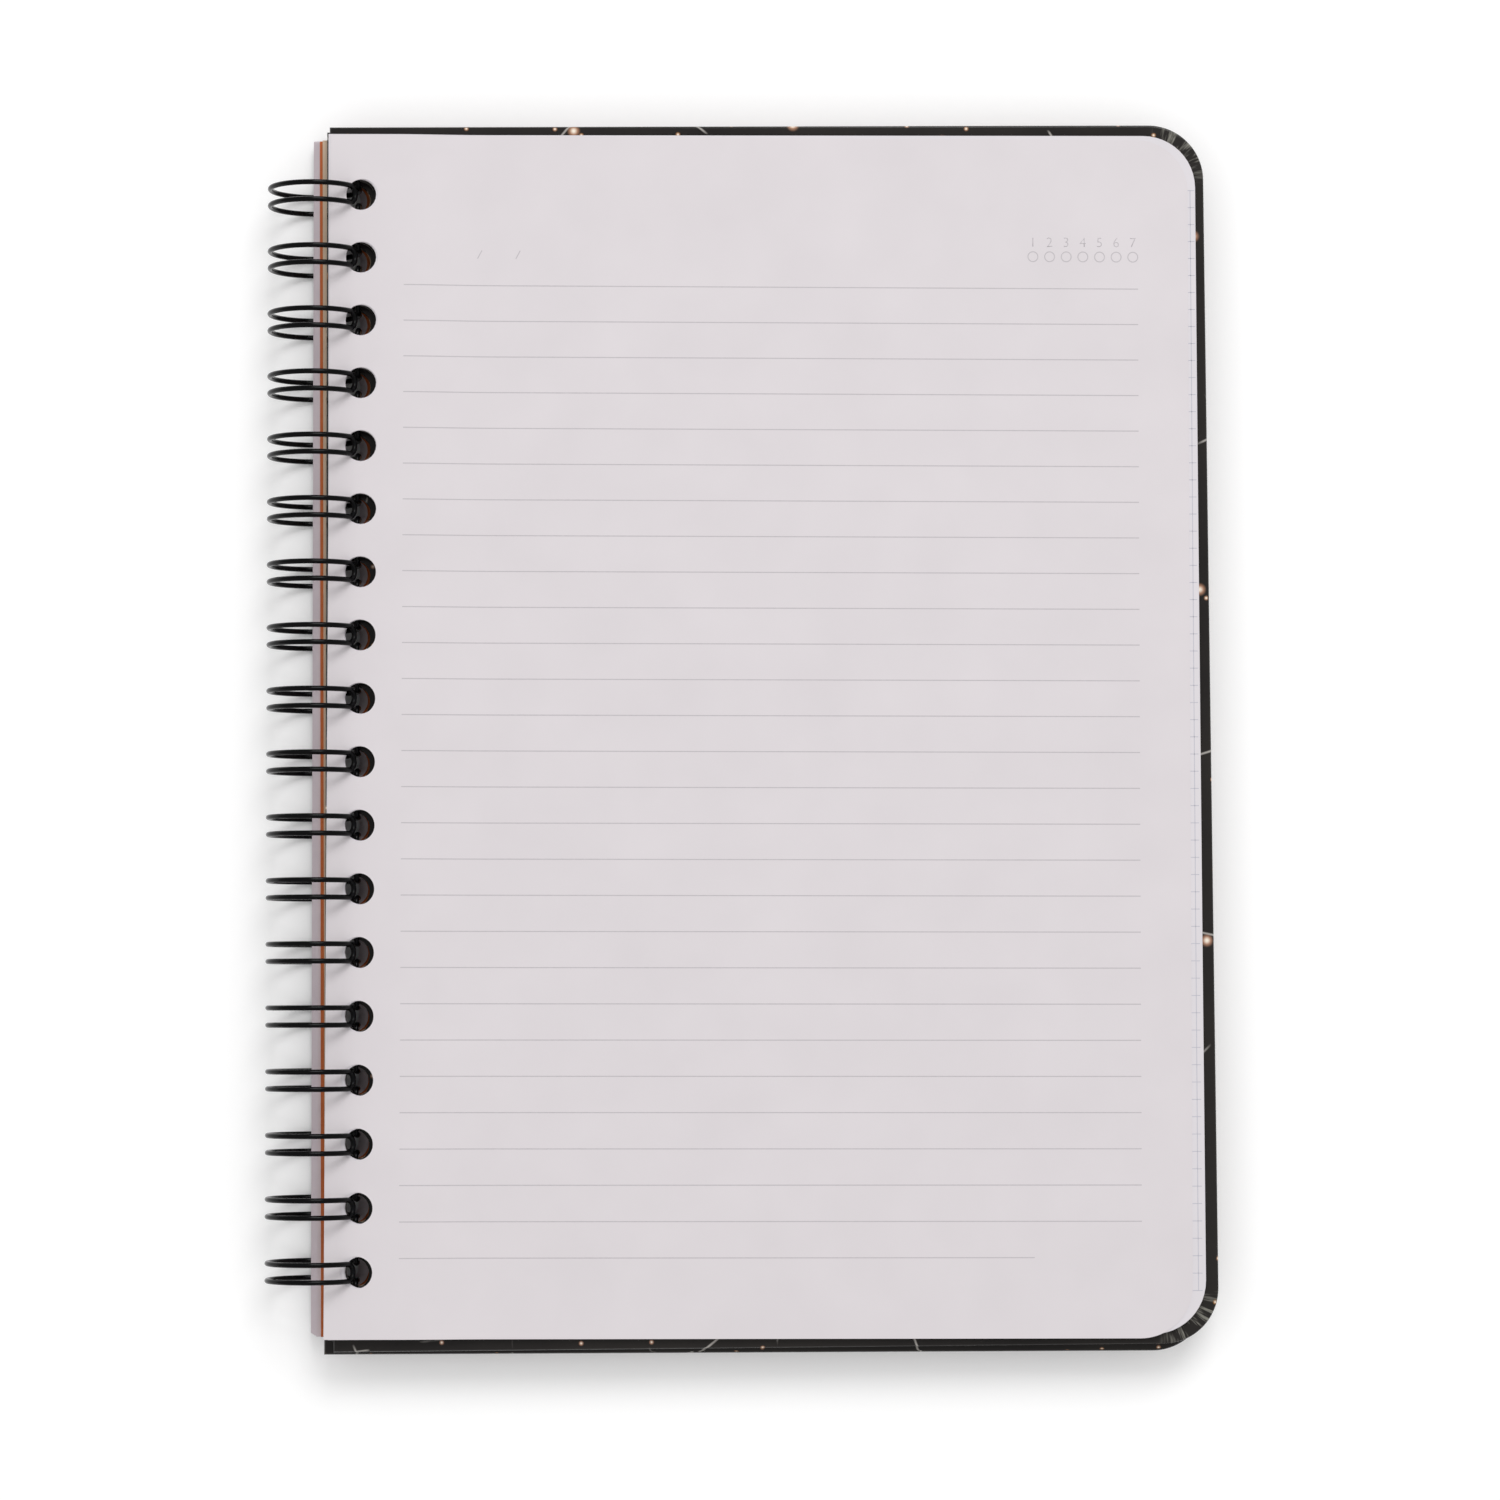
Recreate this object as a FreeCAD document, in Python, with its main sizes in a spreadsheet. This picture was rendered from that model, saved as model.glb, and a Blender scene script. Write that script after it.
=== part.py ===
"""Twin-loop wire-bound notebook with two wrapped board covers, folded back on itself.

From the top of the pile down: the ruled leaf, the leaves behind it, the back cover with
its inner face up, the front cover turned right round under it, the intro leaves, the
divider card and the leaves already turned.  One continuous wire holds them all.

Frame: +X from the binding to the fore edge, +Y to the head of the page, +Z up.  The
origin lies on the underside of the lowest leaf, level with the middle of the row of
loops.  Each sheet is modelled in a frame of its own, with X counted from the axis of
the loops and Z from the sheet's underside, and its Placement sets it on the pile.
"""
import FreeCAD, Part
import math
import os

import Sketcher

V = FreeCAD.Vector

SIZES = [
    # the wire
    ("loop_outer_dia", 19.05, "outside diameter of a closed loop"),
    ("wire_dia", 1.05, "diameter of the coated wire"),
    ("loop_pitch", 12.7, "distance from loop to loop"),
    ("loop_count", 18, "number of twin loops"),
    ("leg_spacing", 3.43, "distance between the two legs of a loop"),
    ("link_bend", 1.1, "radius of the bend from a leg into a link"),
    ("tip_gap", 0.35, "gap along the loop from the tip to the level of the links"),
    ("link_play", 0.05, "clearance under the links, over the cover they lie on"),
    ("page_play", 0.1, "clearance over the links, under the leaves above them"),
    ("axis_reach", 85.0, "distance of the loops' axis from the origin"),
    ("hole_dia", 6.35, "punched hole"),
    # leaves in front of the back cover
    ("leaf_height", 241.4, "tail to head of a leaf"),
    ("leaf_width", 175.0, "spine edge to fore edge of a leaf, the ruled leaf apart"),
    ("leaf_corner", 10.5, "radius of a leaf's fore corners"),
    ("leaf_margin", 6.4, "spine edge of a leaf to its row of holes"),
    ("leaf_drop", 0.5, "middle of a leaf below the middle of its row of holes"),
    ("page_reach", 9.6, "axis of the loops to the holes of the leaves in front"),
    ("page_skew", 0.1, "turn of the leaves in front, degrees"),
    ("page_thick", 1.08, "pile of leaves in front, without the ruled leaf"),
    ("ruled_reach", 9.35, "axis of the loops to the holes of the ruled leaf"),
    ("ruled_width", 173.2, "spine edge to fore edge of the ruled leaf"),
    ("ruled_skew", -0.2, "turn of the ruled leaf, degrees"),
    ("ruled_thick", 0.12, "the ruled leaf"),
    ("ruled_lag", 0.8, "how much further out the ruled leaf bends than those under it"),
    ("page_bend_start", 16.0, "axis of the loops to where the leaves in front bend down"),
    ("page_bend_length", 19.0, "length over which they come down to the cover"),
    # leaves folded round to the back
    ("intro_reach", 8.2, "axis of the loops to the holes of the intro leaves"),
    ("intro_skew", 0.25, "turn of the intro leaves, degrees"),
    ("intro_thick", 1.0, "pile of intro leaves"),
    ("divider_reach", 7.5, "axis of the loops to the holes of the divider"),
    ("divider_skew", 0.2, "turn of the divider, degrees"),
    ("divider_thick", 0.4, "divider card"),
    ("turned_reach", 7.2, "axis of the loops to the holes of the topmost turned leaf"),
    ("turned_thick", 5.5, "pile of turned leaves"),
    ("turned_fan", 0.42, "shift of that pile towards the spine, for each unit of depth"),
    ("turned_rise", 1.9, "height to which the lowest turned leaf is drawn up by the loops"),
    ("turned_bend_start", 8.0, "axis of the loops to where it starts to come down"),
    ("turned_bend_length", 20.0, "length over which it comes down"),
    # covers
    ("board_width", 176.6, "spine edge to fore edge of a cover board"),
    ("board_height", 245.7, "tail to head of a cover board"),
    ("board_corner", 11.0, "radius of a board's fore corners"),
    ("board_thick", 1.88, "cover board"),
    ("wrap_thick", 0.15, "printed paper wrapped round a board"),
    ("turn_in", 15.0, "width of that paper turned in over the board's inner face"),
    ("least_corner", 3.0, "least radius of a corner inside the board's edge"),
    ("lining_thick", 0.12, "lining paper on a cover's inner face"),
    ("lining_inset", 4.5, "board's edge to the lining at head, tail and fore edge"),
    ("lining_spine_inset", 11.5, "board's spine edge to the lining, clear of the holes"),
    ("cover_margin", 5.6, "spine edge of a board to its row of holes"),
    ("cover_drop", 1.1, "middle of a cover below the middle of its row of holes"),
    ("back_reach", 9.4, "axis of the loops to the holes of the back cover"),
    ("back_skew", 0.3, "turn of the back cover, degrees"),
    ("back_shift", 0.2, "slip of the back cover along the loops, towards the head"),
    ("front_reach", 8.1, "axis of the loops to the holes of the front cover"),
    ("front_skew", 0.0, "turn of the front cover, degrees"),
    ("front_shift", -0.4, "slip of the front cover along the loops, towards the head"),
]

doc = FreeCAD.newDocument("notebook")
sheet = doc.addObject("Spreadsheet::Sheet", "sizes")
for line, (alias, value, meaning) in enumerate(SIZES, start=1):
    sheet.set("A%d" % line, meaning)
    sheet.set("B%d" % line, str(value))
    sheet.setAlias("B%d" % line, alias)
doc.recompute()

SIZE = {alias: float(sheet.get(alias)) for alias, _, _ in SIZES}


def cell(text):
    """An expression in which each size is read from the sheet."""
    return " ".join("sizes." + word if word in SIZE else word for word in text.split())


def number(text):
    """The present value of an expression in the sheet's sizes."""
    result = sheet.evalExpression(cell(text))
    return float(getattr(result, "Value", result))


# Heights in the pile, over the surface that the notebook lies on.
COVER_THICK = "( board_thick + 2 * wrap_thick + lining_thick )"
TURNED_BASE = "0"
DIVIDER_BASE = "turned_thick"
INTRO_BASE = "( %s + divider_thick )" % DIVIDER_BASE
FRONT_BASE = "( %s + intro_thick )" % INTRO_BASE
BACK_BASE = "( %s + %s )" % (FRONT_BASE, COVER_THICK)
PAGE_BASE = "( %s + %s )" % (BACK_BASE, COVER_THICK)
RULED_BASE = "( %s + page_thick )" % PAGE_BASE
LINK_SEAT = "( %s - lining_thick )" % PAGE_BASE
PAGE_RISE = "( link_play + wire_dia + page_play - lining_thick )"


# ------------------------------------------------------------------ drawing helpers
def new_body(name):
    body = doc.addObject("PartDesign::Body", name)
    body.Label = name
    return body


def new_sketch(body, name, plane, height="0"):
    """A sketch on one of the body's own origin planes, lifted off it by a height."""
    sketch = body.newObject("Sketcher::SketchObject", body.Name + "_" + name)
    support = [feature for feature in body.Origin.OriginFeatures if feature.Role == plane]
    sketch.AttachmentSupport = (support[0], [""])
    sketch.MapMode = "FlatFace"
    sketch.setExpression("AttachmentOffset.Base.z", cell(height))
    return sketch


def dimension(sketch, kind, place, expression, name):
    """A named dimension that follows the sheet."""
    index = sketch.addConstraint(Sketcher.Constraint(kind, *place, number(expression)))
    sketch.renameConstraint(index, name)
    sketch.setExpression("Constraints." + name, cell(expression))


def constrain(sketch, kind, *places):
    for place in places:
        sketch.addConstraint(Sketcher.Constraint(kind, *place))


def add_outline(sketch, tag, left, right, tail, head, corner):
    """A sheet's outline: square at the spine, round at the two fore corners.

    left and right are distances from the axis of the loops, tail and head from the
    middle of the row of holes.
    """
    x_left, x_right = number(left), number(right)
    y_tail, y_head = -number(tail), number(head)
    radius = number(corner)
    up = V(0, 0, 1)
    x_arc = x_right - radius
    tail_circle = Part.Circle(V(x_arc, y_tail + radius, 0), up, radius)
    head_circle = Part.Circle(V(x_arc, y_head - radius, 0), up, radius)
    tail_edge, tail_arc, fore_edge, head_arc, head_edge, spine_edge = sketch.addGeometry([
        Part.LineSegment(V(x_left, y_tail, 0), V(x_arc, y_tail, 0)),
        Part.ArcOfCircle(tail_circle, -math.pi / 2, 0),
        Part.LineSegment(V(x_right, y_tail + radius, 0), V(x_right, y_head - radius, 0)),
        Part.ArcOfCircle(head_circle, 0, math.pi / 2),
        Part.LineSegment(V(x_arc, y_head, 0), V(x_left, y_head, 0)),
        Part.LineSegment(V(x_left, y_head, 0), V(x_left, y_tail, 0)),
    ])
    constrain(sketch, "Tangent", (tail_edge, 2, tail_arc, 1), (tail_arc, 2, fore_edge, 1),
              (fore_edge, 2, head_arc, 1), (head_arc, 2, head_edge, 1))
    constrain(sketch, "Coincident", (head_edge, 2, spine_edge, 1), (spine_edge, 2, tail_edge, 1))
    constrain(sketch, "Horizontal", (tail_edge,), (head_edge,))
    constrain(sketch, "Vertical", (fore_edge,), (spine_edge,))
    constrain(sketch, "Equal", (tail_arc, head_arc))
    dimension(sketch, "Radius", (tail_arc,), corner, tag + "_corner")
    dimension(sketch, "DistanceX", (-1, 1, spine_edge, 1), left, tag + "_left")
    dimension(sketch, "DistanceX", (-1, 1, fore_edge, 1), right, tag + "_right")
    dimension(sketch, "DistanceY", (tail_edge, 1, -1, 1), tail, tag + "_tail")
    dimension(sketch, "DistanceY", (-1, 1, head_edge, 1), head, tag + "_head")


def pad(body, sketch, thickness):
    feature = body.newObject("PartDesign::Pad", sketch.Name + "_pad")
    feature.Profile = sketch
    feature.setExpression("Length", cell(thickness))
    return feature


def punch(body, reach, height, fan=None):
    """The row of holes, cut down from a height: one pocket, repeated for each loop."""
    sketch = new_sketch(body, "hole", "XY_Plane", height)
    half_row = "( loop_count - 1 ) / 2 * loop_pitch"
    centre = V(number(reach), -number(half_row), 0)
    circle = sketch.addGeometry(Part.Circle(centre, V(0, 0, 1), SIZE["hole_dia"] / 2))
    dimension(sketch, "Diameter", (circle,), "hole_dia", "hole")
    dimension(sketch, "DistanceX", (-1, 1, circle, 3), reach, "reach")
    dimension(sketch, "DistanceY", (circle, 3, -1, 1), half_row, "half_row")
    hole = body.newObject("PartDesign::Pocket", body.Name + "_hole_pocket")
    hole.Profile = sketch
    hole.Type = "ThroughAll"
    if fan:
        hole.UseCustomVector = True
        hole.Direction = V(-number(fan), 0, -1)
        hole.setExpression("Direction.x", cell("0 - " + fan))
    row = body.newObject("PartDesign::LinearPattern", body.Name + "_hole_row")
    row.Originals = [hole]
    row.Direction = (sketch, ["V_Axis"])
    row.setExpression("Length", cell("( loop_count - 1 ) * loop_pitch"))
    row.setExpression("Occurrences", cell("loop_count"))
    body.Tip = row


def carve_bend(body, name, low, rise, start, length, above):
    """Cuts a pile to an S-shaped surface that comes down from the spine.

    The surface lies at low + rise up to start and at low from start + length on.  What is
    above it is cut away, or what is below it.
    """
    sketch = new_sketch(body, name, "XZ_Plane")
    z_low, lift = number(low), number(rise)
    x_crest, x_foot = number(start), number("%s + %s" % (start, length))
    run = x_foot - x_crest
    radius = (run ** 2 + lift ** 2) / (4 * lift)
    turn = 2 * math.atan2(lift, run)
    quarter = math.pi / 2
    normal = V(0, 0, 1)
    crest_circle = Part.Circle(V(x_crest, z_low + lift - radius, 0), normal, radius)
    foot_circle = Part.Circle(V(x_foot, z_low + radius, 0), normal, radius)
    crest, foot = sketch.addGeometry([
        Part.ArcOfCircle(crest_circle, quarter - turn, quarter),
        Part.ArcOfCircle(foot_circle, -quarter - turn, -quarter),
    ])
    constrain(sketch, "Tangent", (crest, 1, foot, 1))
    constrain(sketch, "Equal", (crest, foot))
    clear = "leaf_height"
    z_far = number("%s + %s + %s" % (low, rise, clear)) if above else -SIZE[clear]
    x_far = SIZE[clear] if above else -SIZE[clear]
    z_high = z_low + lift
    corners = [V(x_foot, z_low, 0), V(x_far, z_low, 0), V(x_far, z_far, 0),
               V(x_crest, z_far, 0), V(x_crest, z_high, 0)]
    if not above:
        corners = [V(x_crest, z_high, 0), V(x_far, z_high, 0), V(x_far, z_far, 0),
                   V(x_foot, z_far, 0), V(x_foot, z_low, 0)]
    level, far, edge, back = sketch.addGeometry(
        [Part.LineSegment(a, b) for a, b in zip(corners, corners[1:])])
    first, last = (foot, crest) if above else (crest, foot)
    constrain(sketch, "Tangent", (first, 2, level, 1))
    constrain(sketch, "Coincident", (level, 2, far, 1), (far, 2, edge, 1), (edge, 2, back, 1),
              (back, 2, last, 2))
    constrain(sketch, "Horizontal", (level,), (edge,))
    constrain(sketch, "Vertical", (far,), (back,))
    dimension(sketch, "DistanceX", (-1, 1, crest, 2), start, "start")
    dimension(sketch, "DistanceX", (crest, 2, foot, 2), length, "length")
    dimension(sketch, "DistanceY", (foot, 2, crest, 2), rise, "rise")
    dimension(sketch, "DistanceY", (-1, 1, crest, 2), "%s + %s" % (low, rise), "crest")
    reach = (-1, 1, far, 1) if above else (far, 1, -1, 1)
    dimension(sketch, "DistanceX", reach, clear, "clear_along")
    ends = (far, 1, far, 2) if above else (far, 2, far, 1)
    depth = "%s + %s" % (clear, rise)
    dimension(sketch, "DistanceY", ends, depth, "clear_up")
    pocket = body.newObject("PartDesign::Pocket", sketch.Name + "_pocket")
    pocket.Profile = sketch
    pocket.Midplane = True
    pocket.setExpression("Length", cell("2 * " + clear))
    return pocket


def place(body, base, skew="0", shift="0"):
    """Sets a sheet on the pile, its X from the loops' axis, turned about that axis."""
    body.Placement = FreeCAD.Placement(V(0, 0, 0), FreeCAD.Rotation(V(0, 0, 1), 1))
    body.setExpression("Placement.Rotation.Angle", cell(skew + " * 1 deg"))
    body.setExpression("Placement.Base.x", cell("0 - axis_reach"))
    body.setExpression("Placement.Base.y", cell(shift))
    body.setExpression("Placement.Base.z", cell(base))


# ------------------------------------------------------------------ leaves
def leaf_outline(sketch, reach, width):
    left = "( %s - leaf_margin )" % reach
    right = "( %s + %s )" % (left, width)
    tail = "( leaf_height / 2 + leaf_drop )"
    head = "( leaf_height / 2 - leaf_drop )"
    add_outline(sketch, "leaf", left, right, tail, head, "leaf_corner")


def flat_leaves(name, reach, width, thickness, base, skew):
    """A flat pile of leaves, or a card."""
    body = new_body(name)
    outline = new_sketch(body, "outline", "XY_Plane")
    leaf_outline(outline, reach, width)
    pad(body, outline, thickness)
    punch(body, reach, thickness)
    place(body, base, skew)
    return body


def bent_leaves(name, reach, width, thickness, base, skew, lag="0"):
    """Leaves that pass over the links at the spine and come down to the cover."""
    body = new_body(name)
    outline = new_sketch(body, "outline", "XY_Plane")
    leaf_outline(outline, reach, width)
    full = "( %s + %s )" % (PAGE_RISE, thickness)
    pad(body, outline, full)
    bend = (PAGE_RISE, "( page_bend_start + %s )" % lag, "page_bend_length")
    carve_bend(body, "over", thickness, *bend, above=True)
    carve_bend(body, "under", "0", *bend, above=False)
    punch(body, reach, full)
    place(body, base, skew)
    return body


def turned_leaves():
    """The pile that the notebook lies on, fanned by the curve of the loops."""
    body = new_body("turned_leaves")
    outline = new_sketch(body, "outline", "XY_Plane", "turned_thick")
    leaf_outline(outline, "turned_reach", "leaf_width")
    pile = pad(body, outline, "turned_thick")
    pile.UseCustomVector = True
    pile.Direction = V(-SIZE["turned_fan"], 0, -1)
    pile.setExpression("Direction.x", cell("0 - turned_fan"))
    pile.AlongSketchNormal = True
    carve_bend(body, "under", "0", "turned_rise", "turned_bend_start", "turned_bend_length",
               above=False)
    punch(body, "turned_reach", "turned_thick", fan="turned_fan")
    place(body, TURNED_BASE)
    return body


# ------------------------------------------------------------------ covers
def cover_outline(sketch, tag, reach, inset, spine_inset):
    """A layer's outline, set in from the board's, or outside it where an inset is negative."""
    left = "( %s - cover_margin + ( %s ) )" % (reach, spine_inset)
    right = "( %s - cover_margin + board_width - ( %s ) )" % (reach, inset)
    tail = "( board_height / 2 + cover_drop - ( %s ) )" % inset
    head = "( board_height / 2 - cover_drop - ( %s ) )" % inset
    corner = "max( board_corner - ( %s ) ; least_corner )" % inset
    add_outline(sketch, tag, left, right, tail, head, corner)


def layer(body, name, reach, height, thickness, edge, window=None):
    """One flat layer of a cover, with an opening where window is given."""
    sketch = new_sketch(body, name, "XY_Plane", height)
    cover_outline(sketch, "edge", reach, *edge)
    if window:
        cover_outline(sketch, "window", reach, *window)
    pad(body, sketch, thickness)


def cover(name, base, inner_up):
    """A board, the printed paper wrapped round it and the lining on its inner face."""
    side = name.split("_")[0]
    reach, skew, shift = side + "_reach", side + "_skew", side + "_shift"

    def level(depth, thickness):
        """Underside of a layer that starts at a depth from the cover's outer face."""
        return depth if inner_up else "( %s - ( %s ) - %s )" % (COVER_THICK, depth, thickness)

    on_board, outside, folded = ("0", "0"), ("0 - wrap_thick",) * 2, ("turn_in",) * 2
    board_level = level("wrap_thick", "board_thick")
    fold_level = level("( wrap_thick + board_thick )", "wrap_thick")
    lining_level = level("( 2 * wrap_thick + board_thick )", "lining_thick")

    board = new_body(name + "_board")
    layer(board, "board", reach, board_level, "board_thick", on_board)

    wrap = new_body(name + "_wrap")
    layer(wrap, "outside", reach, level("0", "wrap_thick"), "wrap_thick", outside)
    layer(wrap, "edges", reach, board_level, "board_thick", outside, on_board)
    layer(wrap, "turn_in", reach, fold_level, "wrap_thick", outside, folded)

    lining = new_body(name + "_lining")
    layer(lining, "sheet", reach, lining_level, "lining_thick",
          ("lining_inset", "lining_spine_inset"))
    layer(lining, "window", reach, fold_level, "wrap_thick", folded)

    for piece in (board, wrap):
        punch(piece, reach, COVER_THICK)
    for piece in (board, wrap, lining):
        place(piece, base, skew, shift)
    return [board, wrap, lining]


# ------------------------------------------------------------------ the wire
def binding_wire():
    """One continuous wire: a twin loop for each hole, joined by straight links.

    A loop has two legs that run right round the axis, from the links that lie on the
    back cover, down through the holes, under the pile and over its spine, to a hairpin
    tip that comes down into the holes of the leaves above the links.
    """
    wire_radius = SIZE["wire_dia"] / 2
    loop_radius = SIZE["loop_outer_dia"] / 2 - wire_radius
    half_legs = SIZE["leg_spacing"] / 2
    bend = SIZE["link_bend"]
    axis_height = SIZE["loop_outer_dia"] / 2
    link_height = number("%s + link_play" % LINK_SEAT) + wire_radius - axis_height

    # A link lies one bend radius beyond the leg's end, along the leg's tangent there.
    link_reach = math.hypot(loop_radius, bend)
    link_angle = math.asin(link_height / link_reach)
    leg_start = link_angle - math.atan2(bend, loop_radius)
    # The tip's apex lies half the legs' spacing beyond the other end of the legs.
    apex_angle = link_angle + (SIZE["wire_dia"] + SIZE["tip_gap"]) / loop_radius
    leg_end = apex_angle + math.atan2(half_legs, loop_radius)

    def at(angle):
        """A frame on the loop's axis whose X points out at an angle above +X."""
        return FreeCAD.Rotation(V(0, 1, 0), -math.degrees(angle))

    def arc(radius, centre, normal, first, sweep):
        """A bent length of wire: its circle's centre, normal, start point and sweep."""
        start = first.sub(centre).normalize()
        frame = FreeCAD.Rotation(start, normal.cross(start), normal, "ZXY")
        ring = Part.makeTorus(radius, wire_radius, V(0, 0, 0), V(0, 0, 1), -180, 180,
                              math.degrees(sweep))
        ring.Placement = FreeCAD.Placement(centre, frame)
        return ring

    across = V(0, 1, 0)
    out_start, out_end = at(leg_start).multVec(V(1, 0, 0)), at(leg_end).multVec(V(1, 0, 0))
    back_along = at(leg_start).multVec(V(0, 0, 1))
    link_length = (SIZE["loop_pitch"] - SIZE["leg_spacing"]) / 2 - bend
    pieces = []
    for side in (-1, 1):
        leg_y = across * (side * half_legs)
        pieces.append(arc(loop_radius, leg_y, across, out_start * loop_radius + leg_y,
                          2 * math.pi - (leg_end - leg_start)))
        corner = out_start * loop_radius + leg_y
        centre = corner + across * (side * bend)
        pieces.append(arc(bend, centre, out_start * (-side), corner, math.pi / 2))
        link_start = centre + back_along * bend
        pieces.append(Part.makeCylinder(wire_radius, link_length, link_start, across * side))
    tip_start = out_end * loop_radius + across * half_legs
    pieces.append(arc(half_legs, out_end * loop_radius, out_end * -1, tip_start, math.pi))
    loop = pieces[0].multiFuse(pieces[1:])

    loops = []
    count = int(SIZE["loop_count"])
    for index in range(count):
        copy = loop.copy()
        copy.translate(across * ((index - (count - 1) / 2) * SIZE["loop_pitch"]))
        loops.append(copy)
    wire = doc.addObject("Part::Feature", "binding_wire")
    wire.Label = "binding_wire"
    wire.Shape = loops[0].multiFuse(loops[1:]).removeSplitter()
    wire.Placement = FreeCAD.Placement(V(-SIZE["axis_reach"], 0, axis_height),
                                       FreeCAD.Rotation())
    return wire


parts = [
    binding_wire(),
    bent_leaves("ruled_leaf", "ruled_reach", "ruled_width", "ruled_thick", RULED_BASE,
                "ruled_skew", lag="ruled_lag"),
    bent_leaves("page_block", "page_reach", "leaf_width", "page_thick", PAGE_BASE,
                "page_skew"),
    *cover("back_cover", BACK_BASE, inner_up=True),
    *cover("front_cover", FRONT_BASE, inner_up=False),
    flat_leaves("intro_leaves", "intro_reach", "leaf_width", "intro_thick", INTRO_BASE,
                "intro_skew"),
    flat_leaves("divider_card", "divider_reach", "leaf_width", "divider_thick",
                DIVIDER_BASE, "divider_skew"),
    turned_leaves(),
]
doc.recompute()

for item in doc.Objects:
    if {"Invalid", "Error"} & set(item.State):
        raise RuntimeError("%s did not recompute: %s" % (item.Name, item.State))
for part in parts:
    if part.Shape.isNull() or not part.Shape.isValid():
        raise RuntimeError("%s has no valid shape" % part.Label)
    if len(part.Shape.Solids) != 1:
        raise RuntimeError("%s is in %d pieces" % (part.Label, len(part.Shape.Solids)))

os.makedirs("parts", exist_ok=True)
for part in parts:
    part.Shape.exportStep("parts/%s.step" % part.Label)
    box = part.Shape.BoundBox
    print("%-20s %9.1f mm3   x %7.2f %7.2f   y %7.2f %7.2f   z %6.2f %6.2f" % (
        part.Label, part.Shape.Volume, box.XMin, box.XMax, box.YMin, box.YMax,
        box.ZMin, box.ZMax))
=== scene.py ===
# %% [markdown]
# # A twin-loop notebook, dressed around its frame
#
# The construction comes from a CAD model: a wire, two covers, a divider and piles of
# leaves, each on the body that it moves with.  This script gives those pieces their
# looks.  It is read from top to bottom like a notebook: a few sentences say what a piece
# is on the real object and how it is made here, and the cell after them makes it.
#
# Everything is in metres, in the frame's own axes: +X runs from the binding to the fore
# edge, +Y to the head of the page and +Z up.

# %% Load the frame
import math
import random

import bmesh
import bpy
from mathutils import Euler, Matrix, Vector


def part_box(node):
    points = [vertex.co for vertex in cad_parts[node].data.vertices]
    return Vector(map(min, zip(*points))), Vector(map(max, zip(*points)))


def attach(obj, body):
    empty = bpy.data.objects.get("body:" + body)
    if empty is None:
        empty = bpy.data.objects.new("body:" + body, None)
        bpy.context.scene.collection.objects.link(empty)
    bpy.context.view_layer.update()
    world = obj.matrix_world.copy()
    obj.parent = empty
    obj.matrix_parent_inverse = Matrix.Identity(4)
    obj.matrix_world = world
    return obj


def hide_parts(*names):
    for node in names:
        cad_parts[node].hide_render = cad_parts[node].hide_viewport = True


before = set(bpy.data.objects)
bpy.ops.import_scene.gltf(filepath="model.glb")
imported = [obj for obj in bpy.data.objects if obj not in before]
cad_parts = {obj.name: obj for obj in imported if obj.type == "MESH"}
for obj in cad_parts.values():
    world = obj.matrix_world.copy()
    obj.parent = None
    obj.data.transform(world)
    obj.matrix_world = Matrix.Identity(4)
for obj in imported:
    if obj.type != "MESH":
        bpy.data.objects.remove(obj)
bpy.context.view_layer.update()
MM = 0.001

# %% [markdown]
# ## Sizes
#
# What can be read from the frame is read from it: the loops' axis and radius, their
# pitch, and the height of each layer of the pile.  The rest are the notebook's own
# driving sizes, named once here.  Each sheet is modelled flat, in a frame of its own
# with X counted from the loops' axis, and is then set on the pile.

# %% Sizes of the binding and of the sheets
LOOPS = 18
wire_low, wire_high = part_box("binding_wire")
AXIS_X = (wire_low.x + wire_high.x) / 2
AXIS_Z = (wire_low.z + wire_high.z) / 2
PITCH = (wire_high.y - wire_low.y) / LOOPS
ROW = PITCH * (LOOPS - 1)
WIRE = 1.05 * MM
LOOP_RADIUS = (wire_high.x - wire_low.x - WIRE) / 2
LEG_SPACING = 3.43 * MM
LINK_BEND = 1.1 * MM
LINK_PLAY = 0.05 * MM
TIP_GAP = 0.35 * MM
HOLE = 6.35 * MM

LEAF = dict(width=175.0 * MM, height=241.4 * MM, corner=10.5 * MM, margin=6.4 * MM,
            drop=0.5 * MM)
RULED_LEAF = dict(LEAF, width=173.2 * MM)
BOARD = dict(width=176.6 * MM, height=245.7 * MM, corner=11.0 * MM, margin=5.6 * MM,
             drop=1.1 * MM)
BOARD_THICK = 1.88 * MM
WRAP_THICK = 0.15 * MM
LINING_THICK = 0.12 * MM
TURN_IN = 15.0 * MM
COVER_CORNER = BOARD["corner"] + WRAP_THICK
CLOSE = 0.01 * MM  # Points nearer than this count as one, or as in one plane.

# How far the holes of each sheet lie from the loops' axis, how far the sheet is turned
# about it, in degrees, and how far it has slipped along the loops.
LIE = {
    "ruled_leaf": dict(reach=9.35 * MM, skew=-0.2, slip=0.0),
    "page_block": dict(reach=9.6 * MM, skew=0.1, slip=0.0),
    "back_cover": dict(reach=9.4 * MM, skew=0.3, slip=0.2 * MM),
    "front_cover": dict(reach=8.1 * MM, skew=0.0, slip=-0.4 * MM),
    "intro_leaves": dict(reach=8.2 * MM, skew=0.25, slip=0.0),
    "turned_leaves": dict(reach=7.2 * MM, skew=0.0, slip=0.0),
}
print("loops' axis at x %.2f mm, z %.2f mm, pitch %.2f mm" % (
    AXIS_X / MM, AXIS_Z / MM, PITCH / MM))

# %% [markdown]
# ## The camera
#
# The notebook is seen from above, nearly straight down, through a long lens, so that its
# edges stay almost parallel.  The three small turns are what the hand that held the
# camera left over: they show a little of the pile at the binding and of the tail edge.

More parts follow.
